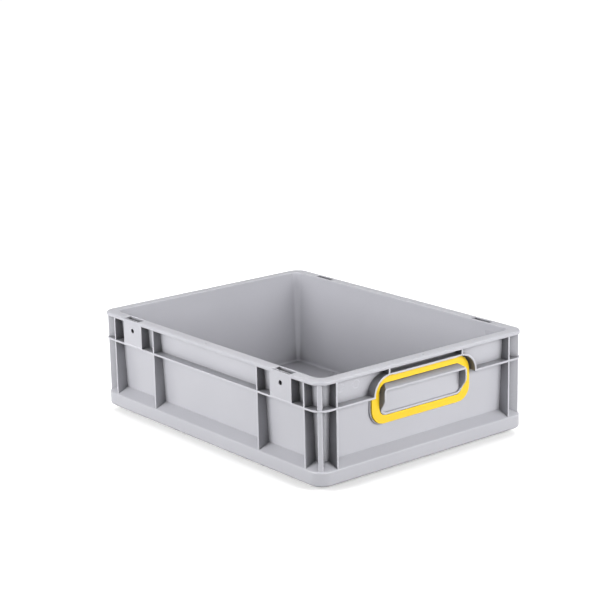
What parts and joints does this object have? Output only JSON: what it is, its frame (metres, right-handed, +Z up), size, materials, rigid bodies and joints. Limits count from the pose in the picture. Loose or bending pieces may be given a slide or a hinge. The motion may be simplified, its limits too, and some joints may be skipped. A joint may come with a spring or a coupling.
{
  "type": "stacking container",
  "caption": "Open-topped rectangular plastic stacking container with ribbed walls, a stacking base, closed finger grips on its short sides and a clip-on colour frame round each grip.",
  "frame": {"origin": "centre of the footprint, on the plane that the base ring stands on", "axes": "+X along the long sides, +Y along the short sides, +Z up"},
  "size_m": [0.4, 0.3, 0.12],
  "materials": {
    "body_grey": "moulded polypropylene, light grey, satin with a fine grain",
    "frame_yellow": "moulded polypropylene, bright yellow, satin"
  },
  "bodies": {
    "container": {"box_body": "body_grey"},
    "right_frame": {"grip_frame_right": "frame_yellow"},
    "left_frame": {"grip_frame_left": "frame_yellow"}
  },
  "joints": [
    {"name": "right_frame_unclip", "type": "slide", "parent": "container", "child": "right_frame", "axis": [1, 0, 0], "range_m": [0, 0.025]},
    {"name": "left_frame_unclip", "type": "slide", "parent": "container", "child": "left_frame", "axis": [-1, 0, 0], "range_m": [0, 0.025]}
  ]
}
